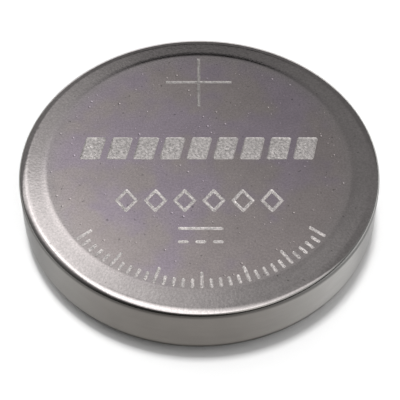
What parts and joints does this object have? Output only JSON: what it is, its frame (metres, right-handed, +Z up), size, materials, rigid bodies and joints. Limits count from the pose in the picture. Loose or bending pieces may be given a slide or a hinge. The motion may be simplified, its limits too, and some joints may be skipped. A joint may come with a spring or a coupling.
{
  "type": "lithium coin cell",
  "caption": "Flat round lithium cell: a crimped steel can with the positive face up, and a stepped negative cap sealed into it by a gasket.",
  "frame": {"origin": "middle of the negative face, on the surface that the cell lies on", "axes": "+Z up along the cell's axis, from the negative face to the positive face; +Y from the front of the positive face to its plus sign; +X to the right"},
  "size_m": [0.0244, 0.0244, 0.005],
  "materials": {
    "can_steel": "satin, finely pitted on the face and drawn smooth on the wall",
    "cap_steel": "satin with a fine rolled grain",
    "gasket_plastic": "matte moulded polypropylene",
    "lithium": "dull soft metal",
    "separator_fleece": "fine white fleece",
    "cathode_mix": "matte pressed powder",
    "ring_steel": "satin sheet"
  },
  "bodies": {
    "root": {"positive_can": "can_steel", "negative_cap": "cap_steel", "gasket": "gasket_plastic", "lithium_anode": "lithium", "separator": "separator_fleece", "cathode_pellet": "cathode_mix", "cathode_ring": "ring_steel"}
  },
  "joints": []
}
